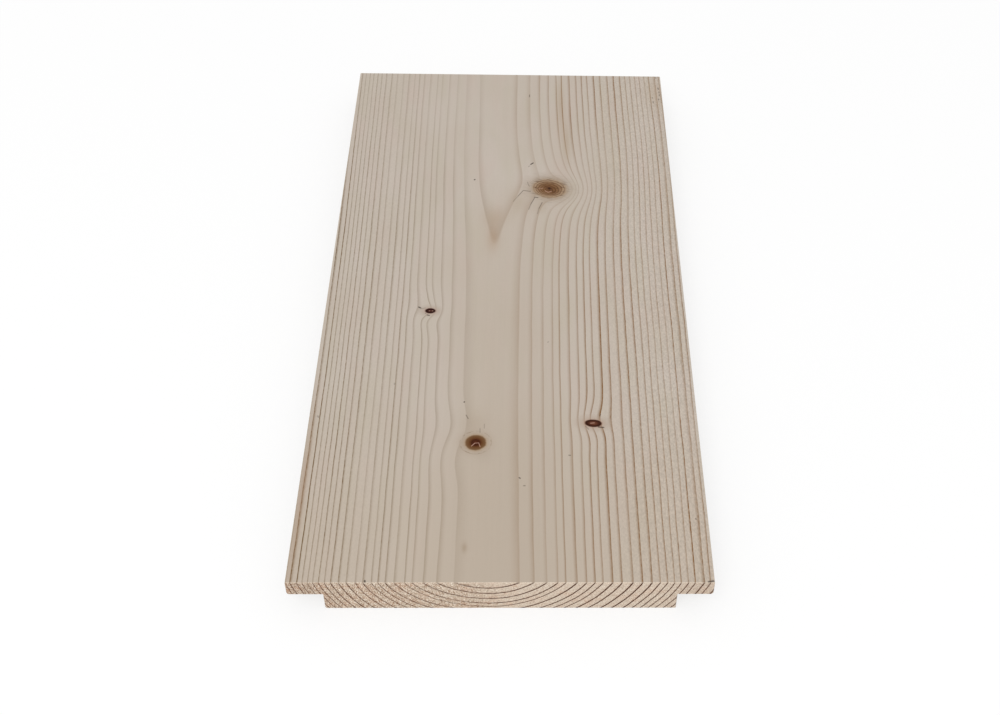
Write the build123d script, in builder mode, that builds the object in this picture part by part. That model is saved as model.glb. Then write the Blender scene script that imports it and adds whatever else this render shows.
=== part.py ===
from build123d import *
import os

# A softwood cladding board, planed to a T-shaped section and sawn to length.
# Z is up: the planed face looks up and the board lies on its back. Y runs along the grain.
# The origin is the centre of the back, on the surface that the board lies on.

# Driving dimensions, in millimetres
face_width = 195.0  # across the face, from the edge of one lip to the edge of the other
thickness = 20.0  # from the back to the face
board_length = 400.0  # from one sawn end to the other
lip_width = 16.5  # how far each lip stands out past the back
lip_thickness = 9.0  # the wood left between a rebate and the face

# Eased edges: radii, and the leg of the bevel on the ends
face_arris_radius = 0.6  # both long edges of the face
lip_edge_radius = 1.3  # the lower outer edge of each lip
rebate_root_radius = 0.5  # the inner corner of each rebate, as the cutter leaves it
left_back_radius = 1.1  # the long edge of the back on the left, which is rounded over
right_back_radius = 0.3  # the long edge of the back on the right, which is almost square
end_arris_leg = 0.3  # the sharp edge rubbed off both sawn ends

# Worked out from the driving dimensions
rebate_depth = thickness - lip_thickness
half_width = face_width / 2

os.makedirs("parts", exist_ok=True)

# The section stands in the XZ plane and is pushed out along Y, half of the length to each side.
with BuildPart() as board:
    with BuildSketch(Plane.XZ) as section:
        with Locations((0, thickness / 2)):
            Rectangle(face_width, thickness)
        with Locations((-half_width, 0)):
            Rectangle(lip_width, rebate_depth, align=(Align.MIN, Align.MIN), mode=Mode.SUBTRACT)
        with Locations((half_width, 0)):
            Rectangle(lip_width, rebate_depth, align=(Align.MAX, Align.MIN), mode=Mode.SUBTRACT)

        # The corners lie at three heights: two at the back, four at the underside of the lips
        # and two at the face.
        back, underside, face = section.vertices().group_by(Axis.Y)
        left_to_right = underside.sort_by(Axis.X)
        fillet(face, face_arris_radius)
        fillet([left_to_right[0], left_to_right[-1]], lip_edge_radius)
        fillet(left_to_right[1:3], rebate_root_radius)
        fillet(back.sort_by(Axis.X)[0], left_back_radius)
        fillet(back.sort_by(Axis.X)[-1], right_back_radius)
    extrude(amount=board_length / 2, both=True)

    # The saw leaves both ends flat and square; only their rims are rubbed down.
    ends = board.faces().filter_by(Axis.Y)
    chamfer(ends.edges(), length=end_arris_leg)

board.part.label = "board"
export_step(board.part, "parts/board.step")
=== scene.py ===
import math

import bmesh
import bpy
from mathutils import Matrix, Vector


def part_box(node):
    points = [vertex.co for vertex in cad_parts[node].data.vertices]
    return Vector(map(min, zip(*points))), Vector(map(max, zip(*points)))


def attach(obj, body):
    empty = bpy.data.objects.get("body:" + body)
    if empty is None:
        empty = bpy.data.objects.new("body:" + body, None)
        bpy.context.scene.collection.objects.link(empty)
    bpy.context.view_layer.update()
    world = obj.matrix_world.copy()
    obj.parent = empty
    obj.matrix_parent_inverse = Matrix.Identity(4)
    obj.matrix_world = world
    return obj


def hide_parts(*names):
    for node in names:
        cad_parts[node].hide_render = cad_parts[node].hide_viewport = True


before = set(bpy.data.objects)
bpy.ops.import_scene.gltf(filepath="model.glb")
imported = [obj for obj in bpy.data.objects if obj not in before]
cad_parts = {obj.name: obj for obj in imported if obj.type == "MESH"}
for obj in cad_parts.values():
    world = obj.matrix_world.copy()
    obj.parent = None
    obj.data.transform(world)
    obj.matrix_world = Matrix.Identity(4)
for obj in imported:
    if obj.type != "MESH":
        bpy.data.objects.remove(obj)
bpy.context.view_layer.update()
boardLow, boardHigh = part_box("board")
print("frame loaded, board", [round(c, 4) for c in boardHigh - boardLow])


# The board's section and edges, in metres. Its overall size comes from the frame.
boardShape = {
    "lipWidth": 0.0165,
    "lipThickness": 0.009,
    "faceArris": 0.0006,
    "lipEdge": 0.0013,
    "rebateRoot": 0.0005,
    "backLeft": 0.0011,
    "backRight": 0.0003,
    "endArris": 0.00028,
    "roundSteps": 5,
    "sharpFrom": 38,  # degrees between two faces, from which their edge stays sharp
}


def longEdge(bm, x, z):
    near = 1e-6

    def onLine(vert):
        return abs(vert.co.x - x) < near and abs(vert.co.z - z) < near
    return [e for e in bm.edges if all(onLine(v) for v in e.verts)]


def roundEdge(bm, x, z, radius, steps):
    bmesh.ops.bevel(bm, geom=longEdge(bm, x, z), offset=radius, offset_type="OFFSET",
                    affect="EDGES", segments=steps, profile=0.5, material=-1)


def makeBoard(shape):
    low, high = boardLow, boardHigh
    inLeft = low.x + shape["lipWidth"]
    inRight = high.x - shape["lipWidth"]
    under = high.z - shape["lipThickness"]
    nearEnd = low.y + shape["endArris"]
    farEnd = high.y - shape["endArris"]

    # the section, then its length
    bm = bmesh.new()
    corners = [(inLeft, low.z), (inRight, low.z), (inRight, under), (high.x, under),
               (high.x, high.z), (low.x, high.z), (low.x, under), (inLeft, under)]
    section = bm.faces.new([bm.verts.new((x, nearEnd, z)) for x, z in corners])
    pushed = bmesh.ops.extrude_face_region(bm, geom=[section])["geom"]
    moved = [g for g in pushed if isinstance(g, bmesh.types.BMVert)]
    bmesh.ops.translate(bm, verts=moved, vec=(0, farEnd - nearEnd, 0))
    bmesh.ops.recalc_face_normals(bm, faces=bm.faces)

    # the eased long edges, each with its own radius
    edges = [(low.x, high.z, "faceArris"), (high.x, high.z, "faceArris"),
             (low.x, under, "lipEdge"), (high.x, under, "lipEdge"),
             (inLeft, under, "rebateRoot"), (inRight, under, "rebateRoot"),
             (inLeft, low.z, "backLeft"), (inRight, low.z, "backRight")]
    for x, z, radius in edges:
        roundEdge(bm, x, z, shape[radius], shape["roundSteps"])

    # the sawn ends, with their rims rubbed down
    ends = [f for f in bm.faces if abs(f.normal.y) > 0.9]
    for end in ends:
        bmesh.ops.inset_region(bm, faces=[end], thickness=shape["endArris"], depth=shape["endArris"])
    for face in bm.faces:
        face.smooth = True

    mesh = bpy.data.meshes.new("board_wood")
    bm.to_mesh(mesh)
    bm.free()
    mesh.set_sharp_from_angle(angle=math.radians(shape["sharpFrom"]))
    piece = bpy.data.objects.new("board_wood", mesh)
    bpy.context.scene.collection.objects.link(piece)
    weights = piece.modifiers.new("flatFacesFirst", "WEIGHTED_NORMAL")
    weights.keep_sharp = True
    return piece


class Wire:
    # one output socket of a shader; arithmetic on it adds Math nodes
    def __init__(self, tree, socket):
        self.tree = tree
        self.socket = socket

    def node(self, kind, settings, inputs, output=0):
        made = self.tree.nodes.new(kind)
        for name, value in settings.items():
            if name == "stops":
                ramp = made.color_ramp.elements
                while len(ramp) < len(value):
                    ramp.new(1.0)
                for stop, (place, colour) in zip(ramp, value):
                    stop.position = place
                    stop.color = colour
            else:
                setattr(made, name, value)
        for name, value in inputs.items():
            if isinstance(value, Wire):
                self.tree.links.new(value.socket, made.inputs[name])
            else:
                made.inputs[name].default_value = value
        return Wire(self.tree, made.outputs[output])

    def outputs(self):
        return [Wire(self.tree, socket) for socket in self.socket.node.outputs]

    def math(self, operation, *values):
        return self.node("ShaderNodeMath", {"operation": operation}, dict(enumerate((self, *values))))

    def __add__(self, other):
        return self.math("ADD", other)

    def __radd__(self, other):
        return self.math("ADD", other)

    def __mul__(self, other):
        return self.math("MULTIPLY", other)

    def __rmul__(self, other):
        return self.math("MULTIPLY", other)

    def __sub__(self, other):
        return self.math("SUBTRACT", other)

    def __rsub__(self, other):
        return self.node("ShaderNodeMath", {"operation": "SUBTRACT"}, {0: other, 1: self})

    def __truediv__(self, other):
        return self.math("DIVIDE", other)

    def __pow__(self, other):
        return self.math("POWER", other)

    def __abs__(self):
        return self.math("ABSOLUTE")

    def atLeast(self, other):
        return self.math("MAXIMUM", other)

    def atMost(self, other):
        return self.math("MINIMUM", other)

    def clamped(self):
        return self.atLeast(0.0).atMost(1.0)

    def smooth(self, low, high):
        # 0 at low and 1 at high, which may be the lower number
        return self.node("ShaderNodeMapRange", {"interpolation_type": "SMOOTHSTEP"},
                         {"Value": self, "From Min": low, "From Max": high})


def joined(x, y, z):
    return x.node("ShaderNodeCombineXYZ", {}, {0: x, 1: y, 2: z})


def noise(place, size, detail=2.0, shift=0.0):
    # about -1 to 1, with blotches of the given size in millimetres along x, y and z
    x, y, z = place
    where = joined(x * (1 / size[0]) + shift, y * (1 / size[1]), z * (1 / size[2]))
    raw = where.node("ShaderNodeTexNoise", {}, {"Vector": where, "Scale": 1.0, "Detail": detail})
    return (raw - 0.5) * 3.0


def mixed(factor, first, second, blend="MIX"):
    wire = next(v for v in (factor, first, second) if isinstance(v, Wire))
    return wire.node("ShaderNodeMix", {"data_type": "RGBA", "blend_type": blend, "clamp_factor": True},
                     {0: factor, 6: first, 7: second}, output=2)


def tone(red, green, blue, cover=1.0):
    # a screen colour as the numbers that a shader takes
    def linear(c):
        c /= 255
        return c / 12.92 if c <= 0.04045 else ((c + 0.055) / 1.055) ** 2.4
    return (linear(red), linear(green), linear(blue), cover)


def bend(t, ends):
    # a smooth curve through three values, at the near end, the middle and the far end
    near, middle, far = ends
    return near + t * (4 * middle - 3 * near - far) + t * t * (2 * near + 2 * far - 4 * middle)


def fadeOut(dx, dy, reach):
    # 1 in the middle, fading out to both sides over the reach
    return ((dx * dx) * (-1 / reach[0] ** 2) + (dy * dy) * (-1 / reach[1] ** 2)).math("EXPONENT")


def distance(u, v):
    return (u * u + v * v).math("SQRT")


# The tree that the board was sawn from, in millimetres. The pith lies above the face.
# Three values hold at the near end, the middle and the far end.
tree = {
    "pithX": (-8.2, -8.9, -8.2),
    "pithRise": (17.9, 18.3, 15.5),
    "spread": (1.0, 1.007, 1.013),
    "lopsided": (0.0008, 0.00085, 0.00058),
    "heartShift": (-2.7, -2.1, -0.5),
    "heartReach": 22,
    "flattened": 0.867,
    "firstRing": 10.0,
    # here the rings lie a little deeper, so that the V on the face reaches further: place, reach, depth
    "dip": ((-8, 34), (12, 14), 0.2),
    # each ring outwards: its width, how dark its summer wood is left and right of the pith,
    # and how much of the ring that takes
    "rings": [(4.0, .20, .20, .30), (3.8, .30, .30, .55), (4.9, .20, .30, .55), (4.1, .36, .47, .40),
              (4.0, .42, .39, .38), (3.6, .45, .52, .34), (2.5, .64, .90, .40), (3.8, .40, .68, .46),
              (3.3, .66, .74, .37), (2.8, .76, .99, .44), (2.6, .50, .87, .39), (3.3, .60, 1.2, .52),
              (3.1, .44, .92, .38), (3.6, .54, .90, .38), (3.2, .77, 1.25, .45), (3.2, .88, 1.02, .36),
              (2.6, .75, .80, .36), (2.4, 1.05, .86, .38), (2.4, .75, .74, .34), (2.2, .83, .80, .36),
              (2.4, .74, .62, .38), (2.2, 1.5, 1.3, .41), (3.0, .88, .64, .58), (1.9, .90, .90, .38),
              (2.8, .60, .60, .34), (3.0, .60, .60, .34)],
    "darkest": 1.5,
}

# Where branches grew out: place on the face, half widths, turn, how far the branch climbs and widens
# towards the back, and the colours from the middle (0) past the rim (1), each with how much it covers.
# The rings bow round the three lesser ones and slip sideways before and behind them.
knots = {
    "large": {
        "at": (24.2, 82.9), "half": (10.4, 8.9), "turn": -14, "climb": 9, "cone": 0.3,
        "colours": [(0, (40, 21, 11), 1), (.05, (58, 34, 18), 1), (.11, (102, 68, 44), 1),
                    (.3, (124, 88, 56), 1), (.5, (130, 96, 66), 1), (.68, (145, 115, 87), 1),
                    (.84, (168, 142, 116), 1), (.95, (166, 143, 119), 1), (1.04, (162, 142, 121), .65),
                    (1.3, (164, 146, 126), .3), (1.9, (175, 160, 145), 0)],
    },
    "small": {
        "at": (-40.9, -22.5), "half": (2.62, 1.86), "turn": 0, "climb": 6, "cone": 0.1,
        "bow": 3.4, "bowReach": (6, 6), "slip": 1.6, "slipAt": -1, "slipReach": (9, 12),
        "colours": [(0, (64, 26, 17), 1), (.4, (58, 22, 14), 1), (.68, (44, 15, 9), 1),
                    (.9, (42, 17, 10), 1), (1.0, (60, 34, 25), 1), (1.12, (150, 122, 108), .8),
                    (1.35, (176, 154, 140), .6), (1.9, (174, 157, 143), .45), (3.0, (180, 166, 152), 0)],
    },
    "centre": {
        "at": (-13.8, -116.2), "half": (5.2, 4.95), "turn": 10, "climb": 3, "cone": 0.2,
        "bow": -0.6, "bowReach": (12, 12), "slip": 2.6, "slipAt": -9, "slipReach": (13, 18),
        "colours": [(0, (98, 58, 40), 1), (.14, (76, 36, 18), 1), (.38, (64, 28, 11), 1),
                    (.55, (95, 57, 30), 1), (.78, (109, 77, 48), 1), (.9, (112, 82, 54), 1),
                    (1.0, (140, 112, 84), .9), (1.08, (168, 146, 122), .75), (1.25, (170, 152, 133), .6),
                    (1.45, (172, 155, 137), .4), (2.3, (182, 168, 153), 0)],
    },
    "oval": {
        "at": (44.8, -103.2), "half": (4.1, 2.35), "turn": -4, "climb": 9, "cone": 0.1,
        "bow": -2.3, "bowReach": (9, 9), "slip": -1.0, "slipAt": 0, "slipReach": (8, 12),
        "colours": [(0, (104, 64, 46), 1), (.38, (96, 56, 39), 1), (.6, (70, 36, 23), 1),
                    (.82, (54, 25, 14), 1), (.96, (54, 25, 15), 1), (1.06, (120, 88, 70), .9),
                    (1.18, (176, 150, 132), .65), (1.5, (174, 154, 137), .5), (2.1, (176, 159, 143), .3),
                    (2.8, (178, 162, 147), 0)],
    },
}

# The rings squeeze past the right tip of the large knot
squeeze = {"rise": 6.2, "reach": (20.9, 23.5), "falloff": -0.92, "slip": 3.0, "room": 1.3, "hug": 0.55}

# Bark specks, resin streaks and short cracks on the face: from, to, half width, cover
darkMarks = [
    ((13.2, 105.9), (14.6, 107.3), .55, .9), ((11.7, 103.5), (12.6, 104.5), .4, .35),
    ((-20.4, 90.5), (-20.2, 90.8), .6, .85), ((12.2, 175.4), (12.3, 177.8), .45, .5),
    ((-20.4, -89.2), (-20.3, -89.0), .5, .85), ((-19.1, -98.0), (-18.0, -100.4), .4, .45),
    ((-9.8, -104.0), (-9.8, -106.8), .3, .3), ((-11.9, -107.0), (-11.8, -109.6), .3, .35),
    ((7.9, -138.5), (8.3, -138.9), .5, .7), ((10.1, -143.5), (10.7, -143.5), .45, .5),
    ((32.2, -124.2), (32.9, -124.3), .45, .55), ((-56.5, -77.0), (-56.5, -76.4), .5, .3),
    ((-93.2, -99.0), (-92.8, -99.8), .6, .35), ((22.4, -46.0), (22.7, -45.6), .5, .3),
    ((-61.5, -198.8), (-61.4, -199.4), .6, .8), ((94.6, -199.4), (97.0, -199.0), .7, .7),
    ((9.2, 80.8), (13.0, 80.1), .4, .6), ((11.1, 88.8), (12.3, 84.8), .35, .35),
    ((15.5, 74.8), (17.4, 74.3), .45, .75), ((15.6, 74.6), (13.2, 68.1), .35, .6),
    ((13.2, 68.1), (12.0, 63.4), .35, .4), ((19.9, 69.9), (18.0, 64.4), .4, .5),
    ((18.0, 64.4), (17.1, 59.6), .4, .3), ((-47.3, -19.6), (-46.3, -20.3), .6, .8),
    ((-46.0, -20.8), (-43.6, -20.3), .35, .35), ((-42.4, -25.8), (-41.3, -26.1), .5, .75),
    ((-43.6, -24.4), (-43.2, -24.7), .35, .4), ((47.3, -105.7), (49.9, -106.0), .55, .75),
    ((8.8, 81.0), (5.6, 75.5), .35, .55), ((5.6, 75.5), (2.9, 70.6), .4, .3),
    ((40.9, -105.1), (42.3, -107.2), .35, .4), ((48.3, -98.2), (48.6, -97.2), .4, .4),
    ((95.3, 187.0), (95.5, 185.2), .5, .55), ((95.7, 182.8), (95.7, 181.2), .5, .45),
    ((95.8, 179.6), (95.6, 178.2), .5, .5), ((95.0, 175.0), (95.0, 173.6), .5, .5),
    ((91.0, 176.8), (91.1, 175.4), .45, .4), ((91.4, 171.9), (91.4, 170.5), .45, .45),
    ((94.4, 198.8), (94.4, 197.6), .6, .4), ((91.5, -163.3), (91.7, -163.7), .5, .5),
]

# Pale scratches in the knots, written in the same way
paleMarks = [
    ((-14.35, -116.6), (-12.2, -116.4), .22, .6), ((-14.3, -116.7), (-15.8, -118.5), .26, .65),
    ((-12.2, -116.7), (-11.5, -119.0), .22, .6), ((21.7, 80.7), (23.4, 79.4), .4, .5),
    ((23.4, 79.4), (25.4, 80.2), .4, .5), ((17.9, 83.0), (20.3, 82.9), .5, .3),
    ((-41.5, -22.5), (-41.2, -22.5), .45, .3), ((-39.9, -22.5), (-39.6, -22.5), .45, .35),
    ((43.6, -103.2), (45.2, -102.9), .5, .35),
]

# Soft tinted patches of the face: place, half widths, colour, cover
patches = [
    ((-8.2, 38), (3.6, 11), (170, 142, 114), .44), ((-8, 56), (7, 9), (176, 154, 130), .34),
    ((6.0, 70), (8, 12), (172, 152, 130), .35),
    ((19, 66), (5, 6), (168, 148, 126), .30), ((-14.5, -104), (6, 7), (170, 152, 134), .30),
    ((-17.2, -180.3), (1.3, 2.8), (150, 128, 104), .45), ((-10, -124), (5, 5), (166, 152, 138), .22),
    ((32.0, 168), (2.3, 26), (166, 140, 112), .35), ((35.0, 128), (2.4, 20), (166, 140, 112), .35),
    ((-95.4, -150), (1.6, 50), (156, 122, 94), .40), ((92, 180), (5, 14), (176, 156, 132), .30),
]

# The wood's colours, as they show on a screen, and its finish
spruce = {
    "clear": ((191, 179, 165), (196, 185, 174)),
    "pink": (195, 177, 166),
    "yellow": (188, 179, 160),
    "nearEnd": (187, 172, 154),
    "heart": (184, 170, 154),
    "leftLines": (108, 82, 44),
    "rightLines": (124, 84, 36),
    "sawn": ((215, 198, 177), (216, 188, 164)),
    "sawnRight": (226, 212, 196),
    "sawnBlush": (220, 178, 148),
    "darkPores": (128, 90, 62),
    "palePores": (250, 240, 224),
    "sawnLines": (80, 44, 24),
    "sawnShade": (136, 100, 76),
    "knotRings": (62, 36, 20),
    "knotDarkStreaks": (70, 40, 20),
    "knotPaleStreaks": (170, 138, 112),
    "knotFringe": (128, 106, 84),
    "knotHalo": (130, 110, 88),
    "darkMarks": (34, 22, 14),
    "paleMarks": (214, 172, 152),
    # painted highlight colour for the face's rims
    "paintedEdgeHighlight": (222, 208, 190),
    "roughness": 0.66,
    "sheen": 0.06,
    "bumpHeight": 0.001,
}


def branchPlace(knot, place):
    # distances from the branch's middle line, which runs outwards and a little upwards from the pith
    x, y, z = place
    atX, atY = knot["at"]
    t = (atY / 1000 - boardLow.y) / (boardHigh.y - boardLow.y)
    pithX, rise = bend(t, tree["pithX"]), bend(t, tree["pithRise"])
    outwards = (boardHigh.z * 1000 + rise - z) * (1 / rise)  # 1 on the face, more towards the back
    dx = x - pithX - outwards * (atX - pithX)
    dy = y - atY - (outwards - 1) * knot["climb"]
    return dx, dy, 1 + (outwards - 1) * knot["cone"]


def branchOval(knot, dx, dy, size):
    # the same place turned and measured in the knot's own half widths
    turn = math.radians(knot["turn"])
    u = (dx * math.cos(turn) + dy * math.sin(turn)) * (1 / knot["half"][0]) / size
    v = (dy * math.cos(turn) - dx * math.sin(turn)) * (1 / knot["half"][1]) / size
    return u, v


def pushedRings(place):
    # how far the branches push the rings sideways and outwards, and the place inside each branch
    aside = 0
    ovals = {}
    for name, knot in knots.items():
        dx, dy, size = branchPlace(knot, place)
        ovals[name] = branchOval(knot, dx, dy, size)
        if "bow" in knot:
            slip = 2.3 * knot["slip"] / knot["slipReach"][1]
            aside = aside + fadeOut(dx, dy, knot["bowReach"]) * knot["bow"]
            aside = aside + fadeOut(dx - knot["slipAt"], dy, knot["slipReach"]) * dy * slip
        else:
            reachX, reachY = squeeze["reach"]
            far = ((dx * (1 / reachX)) ** 2 + (dy * (1 / reachY)) ** 2 + 1) ** squeeze["falloff"]
            outwards = far * (dy * (squeeze["slip"] / reachY) + squeeze["rise"])
            rim = distance(*ovals[name])
            hug = ((1 - rim) * (1 / squeeze["hug"])).atMost(0.0).math("EXPONENT")
            squeezed = (dx + knot["half"][0] - outwards * squeeze["room"]).atLeast(0.0) * hug
    return aside + squeezed, outwards, ovals


def ringShape(place, t, aside, outwards):
    # how far a place lies from the pith, and 0 to 1 from the left of the pith to its right
    x, y, z = place
    across = x - aside - bend(t, tree["pithX"])
    heart = ((across * across) * (-1 / tree["heartReach"] ** 2)).math("EXPONENT")
    across = across * (1 - across * bend(t, tree["lopsided"])) + heart * bend(t, tree["heartShift"])
    across = across * tree["flattened"]
    below = boardHigh.z * 1000 + bend(t, tree["pithRise"]) - z

    (dipX, dipY), dipReach, dipDepth = tree["dip"]
    dip = fadeOut(x - dipX, y - dipY, dipReach) * dipDepth
    wander = noise(place, (40, 150, 40), 1) * 0.35 + noise(place, (7, 26, 7), 2) * 0.15
    wander = wander * (abs(x + 6).smooth(3, 20) * 0.8 + 0.2)  # the innermost rings are the calmest
    radius = (distance(across, below) - outwards - dip + wander) / bend(t, tree["spread"])
    return radius, across.smooth(-12, 12)


def summerWood(radius, rightSide):
    # how dark each ring's summer wood is, its profile on the face, and the thinner one on the ends
    rings, darkest = tree["rings"], tree["darkest"]
    count = len(rings)
    span = sum(ring[0] for ring in rings)
    stops = [(0.0, (0.0, .2, .3, .2))]
    reached = 0
    for number, (width, left, right, broad) in enumerate(rings):
        reached += width
        stops.append((reached / span, ((number + 1) / count, left / darkest, broad, right / darkest)))
    along = (radius - tree["firstRing"]) * (1 / span)
    ramp, right = along.node("ShaderNodeValToRGB", {"stops": stops}, {"Fac": along}).outputs()
    ring, left, broad = ramp.node("ShaderNodeSeparateColor", {}, {0: ramp}).outputs()
    dark = (left + (right - left) * rightSide) * darkest
    phase = (ring * count).math("FRACT")
    late = ((phase - 1 + broad) / broad).clamped() ** 1.5 * phase.smooth(1.0, 0.94)
    thinLate = phase.smooth(0.76, 0.88) * phase.smooth(1.0, 0.96)
    return dark, late, thinLate


def faceLines(place, late, dark, rightSide, sideways):
    # the lines come and go along the board and are broken up by the fibres
    x, y, z = place
    fade = noise(place, (12, 70, 12), 2) * 0.35 + 1
    torn = noise(place, (0.45, 1.8, 0.45), 1) * (sideways * 0.35 + 0.12) + 1
    farFade = 1 - y.smooth(40, 190) * (0.42 - rightSide * 0.35)
    farRight = fadeOut(x - 30 + (y - 180) * 0.11, y - 165, (8, 50)) * 0.9 + 1
    besideKnot = 1 - fadeOut(x - 52, y - 90, (26, 70)) * 0.5
    return late * dark * fade * torn * farFade * farRight * besideKnot


def faceWood(place, line, rightSide):
    # clear wood with a little mottling, a greyer heart and a browner near end, and the lines on it
    x, y, z = place
    cloud = noise(place, (22, 60, 22), 2)
    tint = noise(place, (9, 40, 9), 2, shift=7.3)
    first, second = spruce["clear"]
    wood = mixed(cloud.smooth(-1.2, 1.2), tone(*first), tone(*second))
    wood = mixed(tint.smooth(-0.2, 1.3) * 0.5, wood, tone(*spruce["pink"]))
    wood = mixed(tint.smooth(0.2, -1.3) * 0.5, wood, tone(*spruce["yellow"]))
    wood = mixed(y.smooth(-60, -200) * 0.5, wood, tone(*spruce["nearEnd"]))
    heart = abs(x).smooth(45, 8) * y.smooth(120, -60) * (y.smooth(-60, -160) * 0.35 + 0.5)
    wood = mixed(heart, wood, tone(*spruce["heart"]))
    lines = mixed(rightSide, tone(*spruce["leftLines"]), tone(*spruce["rightLines"]))
    return mixed(line, wood, lines)


def endWood(place, endLine, pores, rightSide, fuzzy):
    # the sawn ends: strong thin lines, and torn pores as pale and dark specks, most of them on the left
    blush = noise(place, (6, 6, 4), 2, shift=5.5)
    first, second = spruce["sawn"]
    wood = mixed(blush.smooth(-0.9, 0.9), tone(*first), tone(*second))
    wood = mixed(rightSide * 0.5, wood, tone(*spruce["sawnRight"]))
    wood = mixed(blush.smooth(0.1, 0.9) * fuzzy * 0.6, wood, tone(*spruce["sawnBlush"]))
    wood = mixed(pores.smooth(0.0, 0.55) * fuzzy, wood, tone(*spruce["darkPores"]))
    wood = mixed(pores.smooth(0.0, -0.55) * fuzzy, wood, tone(*spruce["palePores"]))
    wood = mixed(endLine, wood, tone(*spruce["sawnLines"]))
    shade = abs(place[0]).smooth(70, 90) * 0.16 + (1 - rightSide) * 0.07
    return mixed(shade, wood, tone(*spruce["sawnShade"]))


def largeKnotWood(wood, colour, u, v, z, away, wavy):
    # a live knot has year rings of its own, crowded to one side
    offset = (1 - away).clamped()
    ownRing = (distance(u + offset * 0.09, v + offset * 0.2) + wavy * 0.035) * 6.5
    ownLine = ownRing.math("FRACT").smooth(0.4, 0.95) * away.smooth(0.98, 0.85)
    streaks = noise((u, v, z), (0.5, 0.09, 20), 3)
    colour = mixed(ownLine * 0.6, colour, tone(*spruce["knotRings"]))
    colour = mixed(streaks.smooth(0.05, 0.6) * 0.7, colour, tone(*spruce["knotDarkStreaks"]))
    colour = mixed(streaks.smooth(-0.2, -0.8) * 0.35, colour, tone(*spruce["knotPaleStreaks"]))

    # the fibres crowd past its far side
    fringe = (away * 9).math("FRACT").smooth(0.45, 0.9)
    fringe = fringe * away.smooth(1.5, 1.15) * away.smooth(0.96, 1.03)
    fringe = fringe * v.smooth(0.0, 0.5) * u.smooth(1.1, 0.2) * 0.5
    return mixed(fringe, wood, tone(*spruce["knotFringe"])), colour


def knottedWood(wood, ovals, z, wavy):
    # the knots laid over the wood, and where they are
    knotMask = 0
    for name, knot in knots.items():
        u, v = ovals[name]
        away = distance(u, v)
        outer = knot["colours"][-1][0]
        stops = [(at / outer, tone(*colour, cover)) for at, colour, cover in knot["colours"]]
        ragged = away * (wavy * 0.05 + 1) * (1 / outer)
        colour, cover = away.node("ShaderNodeValToRGB", {"stops": stops}, {"Fac": ragged}).outputs()
        if name == "large":
            wood, colour = largeKnotWood(wood, colour, u, v, z, away, wavy)
        if name == "centre":
            halo = abs(away + wavy * 0.08 - 1.5).smooth(0.09, 0.0) * (wavy * 0.9 + 0.35).clamped()
            wood = mixed(halo, wood, tone(*spruce["knotHalo"]))
        wood = mixed(cover, wood, colour)
        knotMask = away.smooth(1.04, 0.94) + knotMask
    return wood, knotMask


def nearLine(x, y, start, stop, half):
    # 1 on a short line, fading out over its half width
    ax, ay = start
    bx, by = stop[0] - ax, stop[1] - ay
    px, py = x - ax, y - ay
    along = ((px * bx + py * by) * (1 / (bx * bx + by * by))).clamped()
    away = distance(px - along * bx, py - along * by)
    return away.smooth(half * 1.15, half * 0.25)


def markedWood(wood, x, y, onFace):
    for marks, colour in ((darkMarks, "darkMarks"), (paleMarks, "paleMarks")):
        marked = 0
        for start, stop, half, cover in marks:
            marked = (nearLine(x, y, start, stop, half) * cover).atLeast(marked)
        wood = mixed(marked * onFace, wood, tone(*spruce[colour]))
    return wood


def paintedEdgeHighlight(x, y, z, high):
    # painted highlight: the face's rim at both ends and along its sides, made lighter
    ends = z.smooth(high.z - 0.5, high.z - 0.05) * abs(y).smooth(high.y - 0.55, high.y - 0.1)
    sides = abs(x).smooth(high.x - 0.7, high.x - 0.1) * z.smooth(high.z - 3, high.z)
    return (ends + sides).clamped()


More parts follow.
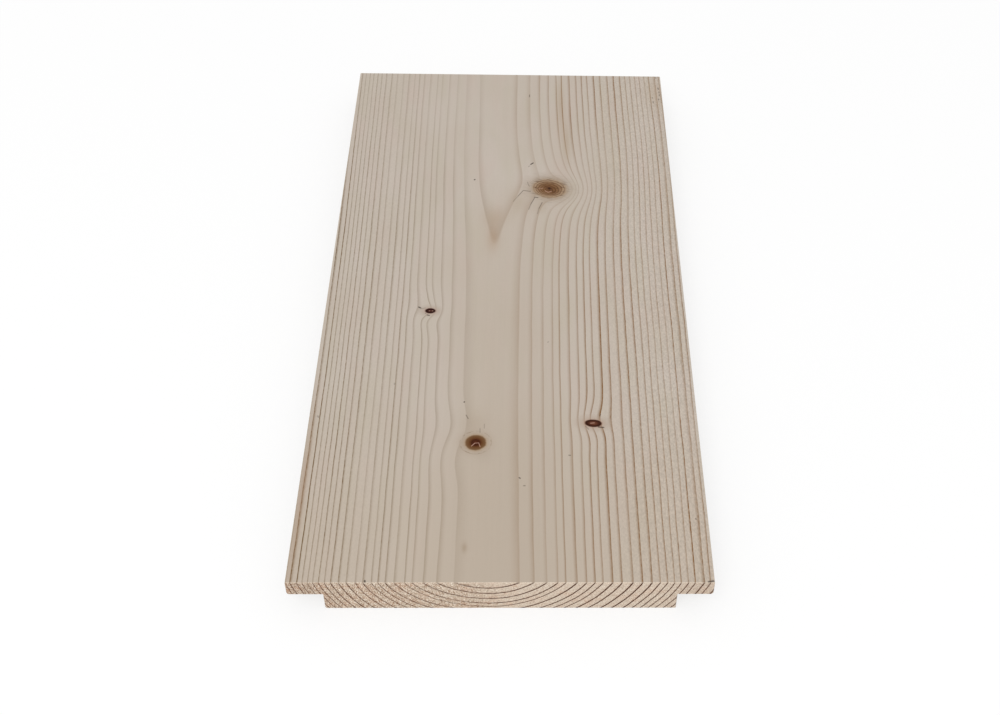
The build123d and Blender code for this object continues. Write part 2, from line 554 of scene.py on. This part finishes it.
def makeSpruce():
    material = bpy.data.materials.new("planed_spruce")
    material.use_nodes = True
    nodes = material.node_tree
    shader = nodes.nodes["Principled BSDF"]
    where = Wire(nodes, nodes.nodes.new("ShaderNodeTexCoord").outputs["Object"])
    metres = where.node("ShaderNodeSeparateXYZ", {}, {0: where}).outputs()
    place = x, y, z = [axis * 1000 for axis in metres]
    low, high = boardLow * 1000, boardHigh * 1000
    t = (y - low.y) * (1 / (high.y - low.y))  # 0 at the near end, 1 at the far end
    endMask = abs(y).smooth(high.y - 0.42, high.y - 0.22)
    onFace = z.smooth(high.z - 2.5, high.z - 1.0)
    sideways = abs(x).smooth(30, 85)

    # the rings, and the lines that they leave on the face and on the ends
    aside, outwards, ovals = pushedRings(place)
    radius, rightSide = ringShape(place, t, aside, outwards)
    dark, late, thinLate = summerWood(radius, rightSide)
    line = faceLines(place, late, dark, rightSide, sideways)
    pores = noise(place, (0.36, 0.36, 0.36), 1)
    sawn = noise(place, (1.3, 1.3, 1.3), 3, shift=3.1)
    fuzzy = 1 - rightSide * 0.55
    endLine = (thinLate * (dark * 0.35 + 0.75) + late * 0.2 * dark) * (sawn * 0.5 + 1.26 - fuzzy * 0.48)
    wood = mixed(endMask, faceWood(place, line, rightSide), endWood(place, endLine, pores, rightSide, fuzzy))

    # fine fibres, long streaks, and the planer's torn dots, most of them on the right
    fibre = noise(place, (0.28, 9, 0.28), 2)
    streak = noise(place, (1.6, 80, 1.6), 2)
    dots = noise(place, (0.7, 1.3, 0.7), 2, shift=1.7) * (sideways * (rightSide * 0.13 + 0.06) + 0.005)
    grain = (fibre * 0.014 + streak * 0.012) * (1 - endMask) + dots + 1
    wood = mixed(1.0, wood, joined(grain, grain, grain), "MULTIPLY")

    # tinted patches, knots, marks, and a painted highlight along the face's rims
    for (atX, atY), half, colour, cover in patches:
        wood = mixed(fadeOut(x - atX, y - atY, half) * onFace * cover, wood, tone(*colour))
    wavy = noise(place, (2.2, 2.2, 2.2), 2, shift=9.1)
    wood, knotMask = knottedWood(wood, ovals, z, wavy)
    wood = markedWood(wood, x, y, onFace)
    # painted highlight: the face's rims lightened as if the eased edges caught the light
    wood = mixed(paintedEdgeHighlight(x, y, z, high) * 0.45, wood, tone(*spruce["paintedEdgeHighlight"]))

    nodes.links.new(wood.socket, shader.inputs["Base Color"])
    roughness = spruce["roughness"] - line * 0.08 - knotMask * 0.06 + endMask * 0.14
    nodes.links.new(roughness.socket, shader.inputs["Roughness"])
    height = (fibre * 0.006 + line * 0.02) * (1 - endMask) + endMask * (pores * 0.03 + endLine * 0.04)
    height = height + knotMask * wavy * 0.02
    bump = height.node("ShaderNodeBump", {}, {"Height": height, "Distance": spruce["bumpHeight"],
                                              "Strength": 1.0})
    nodes.links.new(bump.socket, shader.inputs["Normal"])
    shader.inputs["Specular IOR Level"].default_value = spruce["sheen"]
    return material


board = makeBoard(boardShape)
board.data.materials.append(makeSpruce())
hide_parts("board")
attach(board, "root")
print("board made:", len(board.data.polygons), "faces")


# Sizes and places in metres, power in watts
studio = {
    "floorSize": 8.0,
    "floorBelow": 0.0001,  # how far the floor lies under the back
    "floorTone": 0.75,  # its grey as the board sees it
    "floorWhite": 0.72,  # how much of the floor the camera sees as plain white
    "keyPlace": (-0.45, -1.5, 1.9),
    "keySize": 1.6,
    "keyPower": 17.0,
    "skyStrength": 0.80,
}
white = (1, 1, 1, 1)


def makeFloor(settings):
    bm = bmesh.new()
    bmesh.ops.create_grid(bm, x_segments=1, y_segments=1, size=settings["floorSize"] / 2)
    bmesh.ops.translate(bm, verts=bm.verts, vec=(0, 0, boardLow.z - settings["floorBelow"]))
    mesh = bpy.data.meshes.new("studio_floor")
    bm.to_mesh(mesh)
    bm.free()
    floor = bpy.data.objects.new("studio_floor", mesh)
    bpy.context.scene.collection.objects.link(floor)
    material = bpy.data.materials.new("white_floor")
    material.use_nodes = True
    nodes = material.node_tree
    shader = nodes.nodes["Principled BSDF"]
    shader.inputs["Roughness"].default_value = 0.9
    shader.inputs["Specular IOR Level"].default_value = 0.0
    seen = Wire(nodes, nodes.nodes.new("ShaderNodeLightPath").outputs["Is Camera Ray"])
    grey = (settings["floorTone"],) * 3 + (1,)
    nodes.links.new(mixed(seen, grey, white).socket, shader.inputs["Base Color"])
    glow = seen.node("ShaderNodeEmission", {}, {"Color": white, "Strength": 1.0})
    lit = Wire(nodes, shader.outputs[0])
    surface = seen.node("ShaderNodeMixShader", {}, {0: seen * settings["floorWhite"], 1: lit, 2: glow})
    nodes.links.new(surface.socket, nodes.nodes["Material Output"].inputs["Surface"])
    mesh.materials.append(material)


def makeWorld(settings):
    world = bpy.data.worlds.new("studio_air")
    bpy.context.scene.world = world
    world.use_nodes = True
    nodes = world.node_tree
    back = nodes.nodes["Background"]
    back.inputs["Color"].default_value = white
    path = nodes.nodes.new("ShaderNodeLightPath")
    camera, glossy, through = (Wire(nodes, path.outputs[name]) for name in
                               ("Is Camera Ray", "Is Glossy Ray", "Is Transmission Ray"))
    seen = camera.atLeast(glossy).atLeast(through)
    strength = seen * (1 - settings["skyStrength"]) + settings["skyStrength"]
    nodes.links.new(strength.socket, back.inputs["Strength"])


def makeLamp(name, place, size, power):
    lamp = bpy.data.lights.new(name, "AREA")
    lamp.shape = "DISK"
    lamp.size = size
    lamp.energy = power
    holder = bpy.data.objects.new(name, lamp)
    holder.location = place
    holder.rotation_euler = (-Vector(place)).to_track_quat("-Z", "Y").to_euler()
    bpy.context.scene.collection.objects.link(holder)


makeFloor(studio)
makeWorld(studio)
makeLamp("key_softbox", studio["keyPlace"], studio["keySize"], studio["keyPower"])
print("studio made")


# The photograph's own viewpoint: metres, degrees, and the lens and sensor in millimetres
view = {
    "place": (0.0109, -0.5709, 0.5471),
    "turn": (44.275, -1.584, -1.142),
    "lens": 50.52,
    "sensor": 36,
    "shiftX": -0.0734,
}
lens = bpy.data.cameras.new("photo_camera")
lens.sensor_width = view["sensor"]
lens.lens = view["lens"]
lens.shift_x = view["shiftX"]
camera = bpy.data.objects.new("photo_camera", lens)
camera.location = view["place"]
camera.rotation_euler = [math.radians(a) for a in view["turn"]]
bpy.context.scene.collection.objects.link(camera)
bpy.context.scene.camera = camera
bpy.context.scene.view_settings.view_transform = "Standard"
print("camera set")
